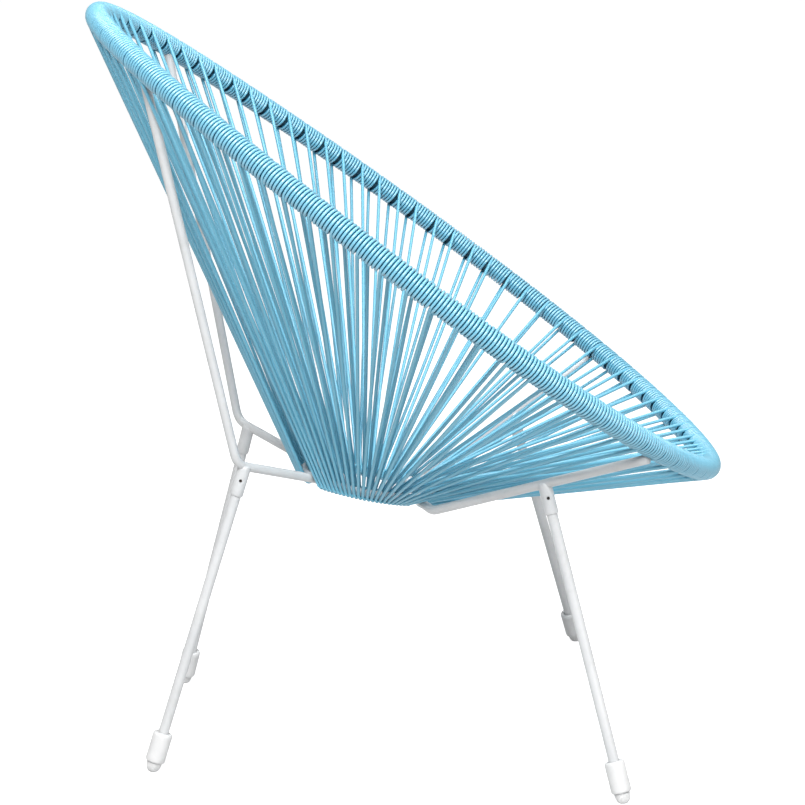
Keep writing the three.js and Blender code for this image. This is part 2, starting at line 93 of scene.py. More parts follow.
# Legs, sockets, screws. A skew is added on the right and taken off on the left.
LEG_RADIUS = 6.0
LEG_WALL = 1.2
LEG_EDGE = 0.3
LEG_TOP = -10.0  # heights along a leg are from the arm's middle
LEG_SIDES = 32
LEG_RINGS = 24
LEG_RINGS_TOP = -20.0
LEG_RINGS_ABOVE_END = 12.0
PLUG_GAP = 0.2
SOCKET_RADIUS = 7.6
SOCKET_LENGTH = 34.0
SOCKET_SIDES = 40
SOCKET_BORE_TOP = -9.0
SOCKET_MOUTH = ((0.5, 0.0), (0.15, 0.15), (0.0, 0.5))  # inset, height above the mouth
SOCKET_RINGS = (0.75, 0.5)  # shares of its length
SOCKET_CROWN = ((0.0, -4.0), (0.0, -1.5), (0.25, -0.4), (1.0, 0.7), (2.4, 1.6))  # inset, height
SOCKET_TOP = 1.8
REAR_SOCKET_ALONG = 14.4
REAR_SOCKET_SKEW = -3.0
FRONT_SOCKET_ALONG = 163.5
FRONT_SOCKET_SKEW = 5.0
REAR_FOOT = (148.4, 299.2)
FRONT_FOOT = (275.3, -220.4)
REAR_SKEW = 8.1
FRONT_SKEW = 3.2
SCREW_RADIUS = 1.6
SCREW_BELOW_ARM = 16.0
SCREW_LENGTH = 3.6
SCREW_SIDES = 24
SCREW_ROOT = -1.0
SCREW_EDGE = ((0.0, 3.2), (0.25, 3.5))  # inset, height
SCREW_RECESS = ((0.8, SCREW_LENGTH), (0.7, 2.4), (0.0, 2.4))  # radius, height
DRILL_SIDES = 20
DRILL_FROM = 0.5
DRILL_PAST = 3.0
SHARP = math.radians(40)

# Feet
SLEEVE_RADIUS = 11.3
SLEEVE_LENGTH = 35.0
SLEEVE_SIDES = 48
SLEEVE_GAP = 0.25
SLEEVE_FLOOR = 3.0
SLEEVE_LOW_EDGE = ((1.6, 0.0), (0.9, 0.3), (0.3, 1.2), (0.0, 2.4))  # inset, height
SLEEVE_HIGH_EDGE = ((0.0, 2.8), (0.25, 1.7), (0.9, 0.7), (1.9, 0.12), (2.9, 0.0))  # inset, depth
SLEEVE_MOUTH = ((0.3, 0.2), (0.0, 0.8))  # wider than the bore by, depth
SLEEVE_RINGS = 6
SLEEVE_RINGS_IN = 6.0  # from its two ends
STUD_BORE = 3.4
STUD_RADIUS = 3.0
TIP_RADIUS = 8.8
TIP_LENGTH = 12.0
TIP_BELOW_FLOOR = 0.6  # pressed flat at the floor
TIP_ROUNDNESS = 0.66
TIP_ROWS = 22
TIP_EDGE = 0.5
TIP_EDGE_DEPTHS = (0.5, 0.4)  # below its top: where the dome and the edge end
FLUTES = 28
FLUTE_SIDES = 6
FLUTE_DEPTH = 0.45
FLUTE_STEEPNESS = 1.6
FLUTED_ROWS = range(4, TIP_ROWS)
BAND_DEPTH = 0.2
BAND_ROWS = 3


# ---------------------------------------------------------------- curves

def unit(v):
    return v / np.linalg.norm(v, axis=-1, keepdims=True)


def square_to(v, axis):
    """The part of v square to a unit axis, made unit."""
    return unit(v - np.sum(v * axis, axis=-1, keepdims=True) * axis)


class Closed:
    """A closed curve walked by the share of its length, from the middle of the back."""

    tangent_step = 1 / 1440

    def __init__(self, point_at, samples=5760):
        self.point_at = point_at
        self.angles = np.linspace(0, TURN, samples + 1)
        points = point_at(self.angles)
        steps = np.linalg.norm(np.diff(points, axis=0), axis=1)
        lengths = np.concatenate([[0], np.cumsum(steps)])
        self.total = lengths[-1]
        self.shares = lengths / self.total

    def at(self, share):
        return self.point_at(np.interp(np.mod(share, 1.0), self.shares, self.angles))

    def tangent(self, share):
        share = np.asarray(share, float)
        return unit(self.at(share + self.tangent_step) - self.at(share - self.tangent_step))

    def share_at(self, angle):
        return float(np.interp(angle, self.angles, self.shares))


def hoop_point(angle):
    angle = np.asarray(angle, float)
    slope = np.array([0, math.cos(HOOP_TILT), math.sin(HOOP_TILT)])
    swell = sum(share * np.cos(n * angle) for n, share in enumerate(HOOP_EGG))
    point = HOOP_CENTRE + (HOOP_HALF_LENGTH * np.cos(angle))[..., None] * slope
    point[..., 0] -= HOOP_HALF_WIDTH * np.sin(angle) * swell
    return point


def ring_point(angle):
    angle = np.asarray(angle, float)
    slope = np.array([0, math.cos(RING_TILT), math.sin(RING_TILT)])
    point = RING_CENTRE + (RING_HALF_LENGTH * np.cos(angle))[..., None] * slope
    point[..., 0] -= RING_HALF_WIDTH * np.sin(angle)
    return point


hoop = Closed(hoop_point)
ring = Closed(ring_point)
REAR_RING = ring.share_at(RING_REAR_ANGLE)
FRONT_RING = ring.share_at(RING_FRONT_ANGLE)
ARM_HALF = (ARM_RADIUS + BESIDE_ARM) / ring.total
WOUND_TURNS = round(hoop.total / (2 * CORD_RADIUS + TURN_GAP))

# Stretches between arms: loops, hoop share at the end, ring shares at both ends, crowding
FRONT_LOOPS = LOOPS / 2 - REAR_LOOPS - SIDE_LOOPS
STRETCHES = (
    (REAR_LOOPS, REAR_ARM_SHARE, 0.0, REAR_RING - ARM_HALF, 0.0),
    (SIDE_LOOPS, SIDE_END, REAR_RING + ARM_HALF, FRONT_RING - ARM_HALF, 0.0),
    (FRONT_LOOPS, 0.5, FRONT_RING + ARM_HALF, 0.5, FRONT_CROWDING),
)


def place_of_loop(n):
    """The winding's turn that a loop leaves after, its share of the ring's length, the
    ring's share per loop there, how far out it lies, and whether it is in the crowd at the
    front. No loop crosses an arm."""
    lap, own = divmod(n, LOOPS)
    right = own <= LOOPS / 2
    own = own if right else LOOPS - own
    first, start = 0.0, 0.0
    for loops, end, low, high, crowding in STRETCHES:
        if own <= first + loops:
            break
        first, start = first + loops, end
    f = (own - first) / loops
    hoop_share = start + f * (1 + crowding * (1 - f)) * (end - start)
    ring_share = low + f * (high - low)
    if not right:
        hoop_share, ring_share = 1 - hoop_share, 1 - ring_share
    piled = PILED if crowding and n % 2 else 0.0
    turn = round((lap + hoop_share) * WOUND_TURNS)
    return turn, ring_share, (high - low) / loops, piled, bool(crowding)


# ---------------------------------------------------------------- meshes

def make_object(name, points, faces, slot, replaced, attributes=None):
    """A piece that rides on the part's body and takes the place of one of its solids."""
    mesh = bpy.data.meshes.new(name)
    mesh.from_pydata((np.asarray(points) * MM).tolist(), [], faces)
    mesh.validate()
    mesh.update()
    mesh.shade_smooth()
    for key, values in (attributes or {}).items():
        values = np.asarray(values, np.float32)
        kind, field = ("FLOAT", "value") if values.ndim == 1 else ("FLOAT_VECTOR", "vector")
        mesh.attributes.new(key, kind, "POINT").data.foreach_set(field, values.ravel())
    mesh.materials.append(MATERIALS[slot])
    obj = bpy.data.objects.new(name, mesh)
    bpy.context.scene.collection.objects.link(obj)
    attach(obj, "root")
    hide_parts(replaced)
    return obj


def grid_faces(rows, columns, closed):
    """Quads between rows of points; each row is a closed ring of points."""
    faces = []
    for i in range(rows if closed else rows - 1):
        a, b = i * columns, ((i + 1) % rows) * columns
        for j in range(columns):
            k = (j + 1) % columns
            faces.append((a + j, a + k, b + k, b + j))
    return faces


def sweep(points, normals, widths, heights, sides, closed=False):
    """Rings of points round a path: widths across it, heights along the given normals."""
    if closed:
        tangents = unit(np.roll(points, -1, 0) - np.roll(points, 1, 0))
    else:
        tangents = unit(np.gradient(points, axis=0))
    normals = square_to(normals, tangents)
    across = np.cross(tangents, normals)
    angles = np.arange(sides) / sides * TURN
    rings = (
        points[:, None]
        + across[:, None] * (np.cos(angles)[None, :] * widths[:, None])[..., None]
        + normals[:, None] * (np.sin(angles)[None, :] * heights[:, None])[..., None]
    )
    faces = grid_faces(len(points), sides, closed)
    if not closed:
        last = (len(points) - 1) * sides
        faces.append(tuple(reversed(range(sides))))
        faces.append(tuple(range(last, last + sides)))
    return rings.reshape(-1, 3), faces


def lathe(profile, sides, radius_of=None):
    """A closed turned piece about Z from (radius, height) pairs, from the bottom up.
    A radius of zero is a single point. radius_of changes a ring's radii by angle."""
    points, rows = [], []
    angles = np.arange(sides) / sides * TURN
    for i, (radius, height) in enumerate(profile):
        if radius == 0:
            rows.append([len(points)])
            points.append((0, 0, height))
            continue
        radii = radius if radius_of is None else radius_of(i, radius, angles)
        rows.append(list(range(len(points), len(points) + sides)))
        ring_points = np.stack(
            [radii * np.cos(angles), radii * np.sin(angles), np.full(sides, height)], 1
        )
        points.extend(ring_points.tolist())
    faces = []
    for below, above in zip(rows, rows[1:]):
        for j in range(sides):
            k = (j + 1) % sides
            if len(below) == 1:
                faces.append((below[0], above[k], above[j]))
            elif len(above) == 1:
                faces.append((below[j], below[k], above[0]))
            else:
                faces.append((below[j], below[k], above[k], above[j]))
    return np.array(points, float), faces


def bent_path(corners, steps=10, spacing=14.0):
    """Straight runs with round bends at the inner points, sampled closely."""
    path = [corners[0]]
    for i in range(1, len(corners) - 1):
        into, out = corners[i] - corners[i - 1], corners[i + 1] - corners[i]
        bend = math.acos(np.clip(unit(into) @ unit(out), -1, 1))
        limit = min(np.linalg.norm(into), np.linalg.norm(out)) / 2
        reach = min(ARM_BEND * math.tan(bend / 2), limit)
        start = corners[i] - unit(into) * reach
        end = corners[i] + unit(out) * reach
        for f in np.linspace(0, 1, steps + 1):
            a = start + (corners[i] - start) * f
            b = corners[i] + (end - corners[i]) * f
            path.append(a + (b - a) * f)
    path.append(corners[-1])
    dense = [path[0]]
    for a, b in zip(path, path[1:]):
        parts = max(1, int(np.linalg.norm(b - a) / spacing))
        dense.extend(a + (b - a) * f for f in np.linspace(0, 1, parts + 1)[1:])
    return np.array(dense)


def even_normals(points, guide):
    """Normals carried along a path without twist, from a guide direction."""
    tangents = unit(np.gradient(points, axis=0))
    normal = square_to(np.asarray(guide, float), tangents[0])
    normals = []
    for tangent in tangents:
        normal = square_to(normal, tangent)
        normals.append(normal)
    return np.array(normals)


# ---------------------------------------------------------------- materials

WHITE = (1.0, 1.0, 1.0)


class Tree:
    """The shader nodes of a material or a world, with short ways to add and join them."""

    def __init__(self, owner):
        owner.use_nodes = True
        self.owner = owner
        self.nodes = owner.node_tree.nodes
        self.link = owner.node_tree.links.new

    def add(self, kind):
        return self.nodes.new("ShaderNode" + kind)

    def place(self):
        return self.add("TexCoord").outputs["Object"]

    def attribute(self, name, output="Fac"):
        node = self.add("Attribute")
        node.attribute_name = name
        return node.outputs[output]

    def ramp(self, source, low, high, at):
        """Two colours spread over a factor."""
        node = self.add("ValToRGB")
        for element, place, colour in zip(node.color_ramp.elements, at, (low, high)):
            element.position = place
            element.color = (*colour, 1)
        self.link(source, node.inputs["Fac"])
        return node.outputs["Color"]

    def spread(self, source, low, high, over=(0.3, 0.7)):
        """A number from low to high as a factor goes over its middle range."""
        node = self.add("MapRange")
        node.inputs["From Min"].default_value = over[0]
        node.inputs["From Max"].default_value = over[1]
        node.inputs["To Min"].default_value = low
        node.inputs["To Max"].default_value = high
        self.link(source, node.inputs["Value"])
        return node.outputs["Result"]

    def noise(self, vector, scale, detail, roughness=0.5):
        node = self.add("TexNoise")
        node.inputs["Scale"].default_value = scale
        node.inputs["Detail"].default_value = detail
        node.inputs["Roughness"].default_value = roughness
        self.link(vector, node.inputs["Vector"])
        return node.outputs["Fac"]

    def multiply(self, first, second):
        """The product of two colours."""
        node = self.add("Mix")
        node.data_type = "RGBA"
        node.blend_type = "MULTIPLY"
        factor, first_colour, second_colour, result = 0, 6, 7, 2  # places of the sockets
        node.inputs[factor].default_value = 1.0
        self.link(first, node.inputs[first_colour])
        self.link(second, node.inputs[second_colour])
        return node.outputs[result]

    def bump(self, height, strength, distance, below=None):
        node = self.add("Bump")
        node.inputs["Strength"].default_value = strength
        node.inputs["Distance"].default_value = distance
        self.link(height, node.inputs["Height"])
        if below is not None:
            self.link(below, node.inputs["Normal"])
        return node.outputs["Normal"]

    def larger(self, first, second):
        node = self.add("Math")
        node.operation = "MAXIMUM"
        self.link(first, node.inputs[0])
        self.link(second, node.inputs[1])
        return node.outputs[0]

    def seen_directly(self):
        """One for rays from the camera and for mirror and glass rays, zero for others."""
        path = self.add("LightPath").outputs
        camera_or_mirror = self.larger(path["Is Camera Ray"], path["Is Glossy Ray"])
        return self.larger(camera_or_mirror, path["Is Transmission Ray"])


def new_material(name):
    tree = Tree(bpy.data.materials.new(name))
    return tree, tree.nodes["Principled BSDF"]


def cord_material():
    """Extruded soft plastic: fine streaks along it, slow changes of tone, and painted shade
    darkening and dulling the sides where it lies between two turns."""
    tree, shader = new_material("cord")
    place = tree.place()
    flow = tree.attribute("cord_flow", "Vector")
    streaks = tree.noise(flow, scale=2.2, detail=4.0, roughness=0.6)
    patches = tree.noise(place, scale=7.0, detail=2.0)
    grain = tree.noise(place, scale=900.0, detail=2.0)
    slow = tree.ramp(patches, (0.108, 0.386, 0.526), (0.142, 0.430, 0.578), at=(0.35, 0.65))
    fine = tree.ramp(streaks, (0.93, 0.95, 0.96), WHITE, at=(0.3, 0.6))
    # Painted shade: where two wound turns meet, the colour is darkened towards deep teal.
    crease = tree.attribute("cord_crease")
    crease_shade = tree.ramp(crease, WHITE, (0.04, 0.26, 0.38), at=(0.12, 0.95))
    clean = tree.multiply(slow, fine)
    tree.link(tree.multiply(clean, crease_shade), shader.inputs["Base Color"])
    tree.link(tree.spread(streaks, low=0.33, high=0.45), shader.inputs["Roughness"])
    streaked = tree.bump(streaks, strength=0.25, distance=0.00012)
    grained = tree.bump(grain, strength=0.12, distance=0.00006, below=streaked)
    tree.link(grained, shader.inputs["Normal"])
    shader.inputs["IOR"].default_value = 1.68
    tree.link(tree.attribute("cord_shine"), shader.inputs["Specular IOR Level"])
    return tree.owner


def paint_material(name, low, high):
    """Powder coat over steel: orange peel, faint changes of tone, and duller rubbed patches. The
    hoop under the winding uses it for painted shade.
    """
    tree, shader = new_material(name)
    place = tree.place()
    peel = tree.noise(place, scale=420.0, detail=2.0)
    patches = tree.noise(place, scale=11.0, detail=4.0, roughness=0.6)
    rubs = tree.noise(place, scale=70.0, detail=5.0, roughness=0.65)
    shade = tree.ramp(patches, low, high, at=(0.35, 0.6))
    dull = tree.ramp(rubs, (0.95, 0.95, 0.94), WHITE, at=(0.34, 0.46))
    tree.link(tree.multiply(shade, dull), shader.inputs["Base Color"])
    tree.link(tree.spread(rubs, low=0.42, high=0.27), shader.inputs["Roughness"])
    tree.link(tree.bump(peel, strength=0.25, distance=0.00015), shader.inputs["Normal"])
    return tree.owner


def plastic_material():
    """Moulded white plastic, matt, with a fine spark-eroded grain."""
    tree, shader = new_material("white_plastic")
    place = tree.place()
    grain = tree.noise(place, scale=1500.0, detail=2.0)
    patches = tree.noise(place, scale=60.0, detail=3.0)
    shade = tree.ramp(patches, (0.635, 0.64, 0.64), (0.695, 0.695, 0.695), at=(0.35, 0.65))
    tree.link(shade, shader.inputs["Base Color"])
    tree.link(tree.spread(patches, low=0.42, high=0.55), shader.inputs["Roughness"])
    tree.link(tree.bump(grain, strength=0.3, distance=0.0001), shader.inputs["Normal"])
    return tree.owner


def screw_material():
    """Dark oiled steel with turned marks and a little rust."""
    tree, shader = new_material("screw_metal")
    place = tree.place()
    marks = tree.noise(place, scale=1800.0, detail=3.0)
    rust = tree.noise(place, scale=500.0, detail=4.0)
    shade = tree.ramp(rust, (0.035, 0.035, 0.038), (0.075, 0.055, 0.045), at=(0.45, 0.7))
    tree.link(shade, shader.inputs["Base Color"])
    shader.inputs["Metallic"].default_value = 0.8
    tree.link(tree.spread(marks, low=0.35, high=0.6), shader.inputs["Roughness"])
    tree.link(tree.bump(marks, strength=0.3, distance=0.0001), shader.inputs["Normal"])
    return tree.owner


MATERIALS = {
    "cord": cord_material(),
    "powder_coat": paint_material("powder_coat", (0.535, 0.545, 0.553), (0.595, 0.602, 0.607)),
    "white_plastic": plastic_material(),
    "screw_metal": screw_material(),
}


# ---------------------------------------------------------------- cord

STEPS_PER_TURN = 20
WRAP_STEPS = 10
CORD_SIDES = 8
HALF_TURN_OF_LOOP = 0.5  # a loop takes a quarter turn of the winding on each side of it
STATIONS = np.array(  # places along a strand, closer together near the hoop and the ring
    [0.0, 0.008, 0.016, 0.03, 0.06, 0.12, 0.25, 0.4, 0.55, 0.7, 0.82, 0.91, 0.96, 0.985, 1.0]
)
RING_SIDE_BEND = 110.0  # radius of the hub ring's bend along its sides
RING_SIDE_REACH = 0.12  # how far the sides reach from their middles, as a share of its length
SQUEEZE_POWER = 6  # a strand gets narrower only close to the hub ring
SWELL_ROUNDING = 0.3
FLOW_PER_MM = 0.01  # how fast the streaks change along the cord
FLOW_ROUND = 2.0  # and round it
FLOW_APART = 37.0  # between two lengths of cord
# Painted shade between two turns: how narrow it is, and how much of the shine it takes away.
CREASE_POWER = 4
CREASE_DULLING = 0.95
STRAND_SHINE = 0.45  # of the winding's, which is rubbed smooth

SEED = 11
SWELL_SPREAD = 0.07
DRIFT_SPREAD = 0.55
rng = np.random.default_rng(SEED)
SWELL = rng.normal(0, SWELL_SPREAD, WOUND_TURNS * 2)  # how loose each half turn round the hoop is
DRIFT = rng.normal(0, DRIFT_SPREAD, (LOOPS, 2))  # how far a strand strays sideways at its middle


def strand(n, way):
    """One strand of loop n: way -1 goes down on the inner side, +1 comes back outside.
    Returns its places on the hoop and the ring and its directions."""
    turn, ring_share, pitch, piled, _ = place_of_loop(n)
    hoop_share = (turn + way / 4) / WOUND_TURNS
    ring_share = ring_share + way * pitch / 4
    top, low = hoop.at(hoop_share), ring.at(ring_share)
    tangent = hoop.tangent(hoop_share)
    along = low - top
    length = np.linalg.norm(along)
    along = along / length
    inner = unit(np.cross(tangent, along))
    wrapped = WRAPPED + piled
    lean = math.asin((WOUND - wrapped) / length)
    radial = -way * inner * math.cos(lean) + along * math.sin(lean)
    return {
        "turn": turn,
        "hoop_share": hoop_share,
        "ring_share": ring_share,
        "top": top + radial * WOUND,
        "low": low + radial * wrapped,
        "radial": radial,
        "lean": lean,
        "along": along,
        "tangent": tangent,
        "wrapped": wrapped,
    }


def turns(n):
    """The winding from loop n's return to loop n + 1's departure."""
    back, down = strand(n, 1), strand(n + 1, -1)
    whole = down["turn"] - back["turn"]
    count = int((whole - HALF_TURN_OF_LOOP) * STEPS_PER_TURN)
    f = np.linspace(0, 1, count + 1)
    shares = back["hoop_share"] + f * (down["hoop_share"] - back["hoop_share"])
    centres, tangents = hoop.at(shares), hoop.tangent(shares)
    lap = np.mod([back["ring_share"], down["ring_share"]], 1.0)
    if lap[1] < lap[0] - 0.5:
        lap[1] += 1
    toward = square_to(ring.at(lap[0] + f * (lap[1] - lap[0])) - centres, tangents)
    inner = np.cross(tangents, toward)
    start = -math.pi / 2 + back["lean"]
    end = math.pi / 2 - down["lean"] - whole * TURN
    angle = start + f * (end - start)
    radial = toward * np.cos(angle)[:, None] + inner * np.sin(angle)[:, None]
    half = np.mod(shares, 1.0) * len(SWELL)
    swell = np.interp(half, np.arange(len(SWELL)), SWELL) * np.sin(f * math.pi) ** SWELL_ROUNDING
    return centres + radial * (WOUND + swell)[:, None], radial


def loop(n):
    """Down inside the ring, round under it, and back outside."""
    down, back = strand(n, -1), strand(n, 1)
    stray = DRIFT[n % LOOPS]
    bow = np.sin(STATIONS * math.pi)[:, None] ** 2
    straight_down = down["top"] + STATIONS[:, None] * (down["low"] - down["top"])
    straight_down += down["tangent"] * bow * stray[0]
    straight_back = back["low"] + (1 - STATIONS[::-1])[:, None] * (back["top"] - back["low"])
    straight_back += back["tangent"] * bow[::-1] * stray[1]
    f = (np.arange(WRAP_STEPS) + 0.5) / WRAP_STEPS
    shares = down["ring_share"] + f * (back["ring_share"] - down["ring_share"])
    aside = ring.tangent(shares)
    start, end = down["radial"], back["radial"]
    under = square_to((down["along"] + back["along"])[None] / 2, aside)
    side = square_to((start - end)[None], aside)
    angle = f * math.pi
    radial = unit(side * np.cos(angle)[:, None] + under * np.sin(angle)[:, None])
    wrap = ring.at(shares) + radial * down["wrapped"]
    points = np.concatenate([straight_down, wrap, straight_back])
    count = len(STATIONS)
    radials = np.concatenate(
        [np.repeat(start[None], count, 0), radial, np.repeat(end[None], count, 0)]
    )
    share = np.concatenate(
        [STATIONS**SQUEEZE_POWER, np.ones(WRAP_STEPS), STATIONS[::-1] ** SQUEEZE_POWER]
    )
    widths = CORD_RADIUS + (squeezed(n, down["ring_share"]) - CORD_RADIUS) * share
    widths[[0, -1]] = PRESSED
    return points, radials, widths


def squeezed(n, ring_share):
    """Half the width that a strand of loop n has room for inside the ring; the crowd at
    the front lies in two layers."""
    _, _, pitch, _, in_front = place_of_loop(n)
    room = pitch * ring.total * (2 if in_front else 1)
    at_end = abs(ring_share % 0.5 - 0.25) > RING_SIDE_REACH
    bend = 1 - WRAPPED / (RING_HALF_WIDTH if at_end else RING_SIDE_BEND)
    return min(CORD_RADIUS, room * bend * 0.5)


def half_turns(n, first):
    """The half of the winding between loops n and n + 1 that this length of cord has."""
    points, radials = turns(n)
    middle = len(points) // 2
    part = slice(middle, None) if first else slice(middle + 1)
    return points[part], radials[part]


def eased(points, places, reach=3, passes=3, strength=0.4):
    """Rounds the kinks where a strand leaves the winding."""
    points = points.copy()
    for _ in range(passes):
        for place in places:
            low, high = max(place - reach, 1), min(place + reach, len(points) - 2)
            middle = points[low : high + 1]
            average = (points[low - 1 : high] + points[low + 1 : high + 2]) / 2
            points[low : high + 1] = middle + (average - middle) * strength
    return points


def cord_path(section):
    """One length of cord: points, directions out of what it lies on, half widths."""
    first = section * LOOPS_PER_SECTION
    last = first + LOOPS_PER_SECTION - 1
    points, radials, widths, joints = [], [], [], []

    def extend(p, r, w=None):
        points.append(p)
        radials.append(r)
        widths.append(np.full(len(p), PRESSED) if w is None else w)

    extend(*[a[:-1] for a in half_turns(first - 1, True)])
    for n in range(first, last + 1):
        joints.append(sum(map(len, points)))
        extend(*loop(n))
        joints.append(sum(map(len, points)) - 1)
        if n < last:
            extend(*[a[1:-1] for a in turns(n)])
    extend(*[a[1:] for a in half_turns(last, False)])
    points, radials, widths = map(np.concatenate, (points, radials, widths))
    return eased(points, joints), radials, widths


def cord_section(section):
    points, radials, widths = cord_path(section)
    heights = np.full(len(points), CORD_RADIUS)
    rings, faces = sweep(points, radials, widths, heights, CORD_SIDES)
    steps = np.linalg.norm(np.diff(points, axis=0), axis=1)
    run = np.concatenate([[0], np.cumsum(steps)]) * FLOW_PER_MM + section * FLOW_APART
    angles = np.arange(CORD_SIDES) / CORD_SIDES * TURN
    flow = np.stack(
        [
            np.repeat(run, CORD_SIDES),
            np.tile(np.cos(angles), len(points)) * FLOW_ROUND,
            np.tile(np.sin(angles), len(points)) * FLOW_ROUND,
        ],
        1,
    )
    # Painted shade: a mask on the wound cord's sides where two turns meet darkens the colour
    # (cord_crease) and lowers the shine.
    wound = (widths == PRESSED).astype(float)
    crease = np.outer(wound, np.cos(angles) ** CREASE_POWER).ravel()
    shine = np.repeat(STRAND_SHINE + (1 - STRAND_SHINE) * wound, CORD_SIDES)
    shine *= 1 - CREASE_DULLING * crease
    make_object(
        f"cord_length_{section + 1:02d}",
        rings,
        faces,
        "cord",
        f"seat_cord_{section + 1:02d}",
        {"cord_flow": flow, "cord_crease": crease, "cord_shine": shine},
    )


for section in range(SECTIONS):
    cord_section(section)


# ---------------------------------------------------------------- steel frame

SIDES = (("right", 1), ("left", -1))
ENDS = ("rear", "front")
GUIDE = (0.2, 0.1)  # y and z of the direction in which an arm's rings start


def mirrored(point, sign):
    """A place given by its distance to the side, on the right (-X) or the left (+X)."""
    return np.array([-point[0] * sign, point[1], point[2]])


def share_on(share, sign):
    return share if sign > 0 else 1 - share


def painted_rod(name, path, radius, normals, replaced, closed=False):
    radii = np.full(len(path), radius)
    rings, faces = sweep(path, normals, radii, radii, ROD_SIDES, closed)
    make_object(name, rings, faces, "powder_coat", replaced)


def arm_corners(end, sign):
    if end == "rear":
        return [
            hoop.at(share_on(REAR_ARM_SHARE, sign)),
            mirrored(REAR_CORNER - np.array([0, sign * REAR_CORNER_SKEW, 0]), sign),
            ring.at(share_on(REAR_RING, sign)),
        ]
    below = np.array([0, 0, -FRONT_ARM_UNDER_HOOP])
    return [
        ring.at(share_on(FRONT_RING, sign)),
        mirrored(FRONT_BEND, sign),
        hoop.at(share_on(FRONT_ARM_SHARE, sign)) + below,
    ]


def leg_axis(end, sign):
    """The leg's top at the arm's middle, and its foot on the floor."""
    corners = arm_corners(end, sign)
    if end == "rear":
        along, foot, skew = REAR_SOCKET_ALONG + sign * REAR_SOCKET_SKEW, REAR_FOOT, REAR_SKEW
    else:
        along, foot, skew = FRONT_SOCKET_ALONG + sign * FRONT_SOCKET_SKEW, FRONT_FOOT, FRONT_SKEW
    top = corners[1] + unit(corners[2] - corners[1]) * along
    return top, np.array([-foot[0] * sign, foot[1] + skew * sign, 0.0])


def along_leg(points, axis):
    """Points about Z from the arm down, put on the leg's axis with +X facing outboard."""
    top, foot = axis
    back = unit(top - foot)
    outboard = square_to(np.array([math.copysign(1, foot[0]), 0, 0]), back)
    third = np.cross(back, outboard)
    return top + points @ np.stack([outboard, third, back])


def steel():
    path = ring.at(np.arange(RING_STEPS) / RING_STEPS)
    normal = np.array([0, -math.sin(RING_TILT), math.cos(RING_TILT)])
    normals = np.repeat(normal[None], RING_STEPS, 0)
    painted_rod("hub", path, RING_RADIUS, normals, "hub_ring", closed=True)
    for side, sign in SIDES:
        for end in ENDS:
            path = bent_path(arm_corners(end, sign))
            normals = even_normals(path, (sign, *GUIDE))
            name = f"{end}_arm_{side}"
            painted_rod(f"{name}_tube", path, ARM_RADIUS, normals, name)


def drill_mesh(axis):
    angles = np.arange(DRILL_SIDES) / DRILL_SIDES * TURN
    radius = SCREW_RADIUS + FIT_GAP
    hole = [
        [x, radius * math.cos(a), radius * math.sin(a) - SCREW_BELOW_ARM]
        for x in (DRILL_FROM, SOCKET_RADIUS + DRILL_PAST)
        for a in angles
    ]
    near, far = range(DRILL_SIDES), range(DRILL_SIDES, 2 * DRILL_SIDES)
    faces = [(near[j - 1], near[j], far[j], far[j - 1]) for j in (*near[1:], 0)]
    faces += [tuple(reversed(near)), tuple(far)]
    mesh = bpy.data.meshes.new("drill")
    mesh.from_pydata((along_leg(np.array(hole), axis) * MM).tolist(), [], faces)
    return mesh


def drill(obj, axis):
    """Drills the screw's hole through the outboard wall."""
    tool = bpy.data.objects.new("drill", drill_mesh(axis))
    bpy.context.scene.collection.objects.link(tool)
    modifier = obj.modifiers.new("drill", "BOOLEAN")
    modifier.operation = "DIFFERENCE"
    modifier.object = tool
    modifier.solver = "EXACT"
    shown = obj.evaluated_get(bpy.context.evaluated_depsgraph_get())
    cut = bpy.data.meshes.new_from_object(shown)
    obj.modifiers.clear()
    obj.data = cut
    bpy.data.objects.remove(tool)
    cut.set_sharp_from_angle(angle=SHARP)


def on_leg(name, profile, sides, axis, slot, replaced):
    """A turned piece on a leg's axis."""
    points, faces = lathe(profile, sides)
    return make_object(name, along_leg(points, axis), faces, slot, replaced)


def legs():
    for side, sign in SIDES:
        for end in ENDS:
            axis = leg_axis(end, sign)
            place = f"{end}_{side}"
            length = np.linalg.norm(axis[0] - axis[1])
            socket(place, axis)
            leg(place, axis, length)
            screw(place, axis)
            sleeve(place, axis, length)
            tip(place, axis, length)


def socket(place, axis):
    bore = LEG_RADIUS + PLUG_GAP
    profile = [
        (0, SOCKET_BORE_TOP),
        (bore, SOCKET_BORE_TOP),
        (bore, -SOCKET_LENGTH),
        *[(SOCKET_RADIUS - inset, z - SOCKET_LENGTH) for inset, z in SOCKET_MOUTH],
        *[(SOCKET_RADIUS, -SOCKET_LENGTH * share) for share in SOCKET_RINGS],
        *[(SOCKET_RADIUS - inset, z) for inset, z in SOCKET_CROWN],
        (0, SOCKET_TOP),
    ]
    replaced = f"leg_socket_{place}"
    drill(on_leg(f"socket_{place}", profile, SOCKET_SIDES, axis, "powder_coat", replaced), axis)


def leg(place, axis, length):
    bottom = -(length - TIP_LENGTH - SLEEVE_FLOOR - FIT_GAP)
    plain = np.linspace(bottom + LEG_RINGS_ABOVE_END, LEG_RINGS_TOP, LEG_RINGS)
    profile = [
        (LEG_RADIUS - LEG_WALL, bottom),
        (LEG_RADIUS - LEG_EDGE, bottom),
        (LEG_RADIUS, bottom + LEG_EDGE),
        *[(LEG_RADIUS, z) for z in plain],
        (LEG_RADIUS, LEG_TOP - LEG_EDGE),
        (LEG_RADIUS - LEG_EDGE, LEG_TOP),
        (LEG_RADIUS - LEG_WALL, LEG_TOP),
        (LEG_RADIUS - LEG_WALL, bottom),
    ]
    replaced = f"leg_tube_{place}"
    drill(on_leg(f"leg_{place}", profile, LEG_SIDES, axis, "powder_coat", replaced), axis)


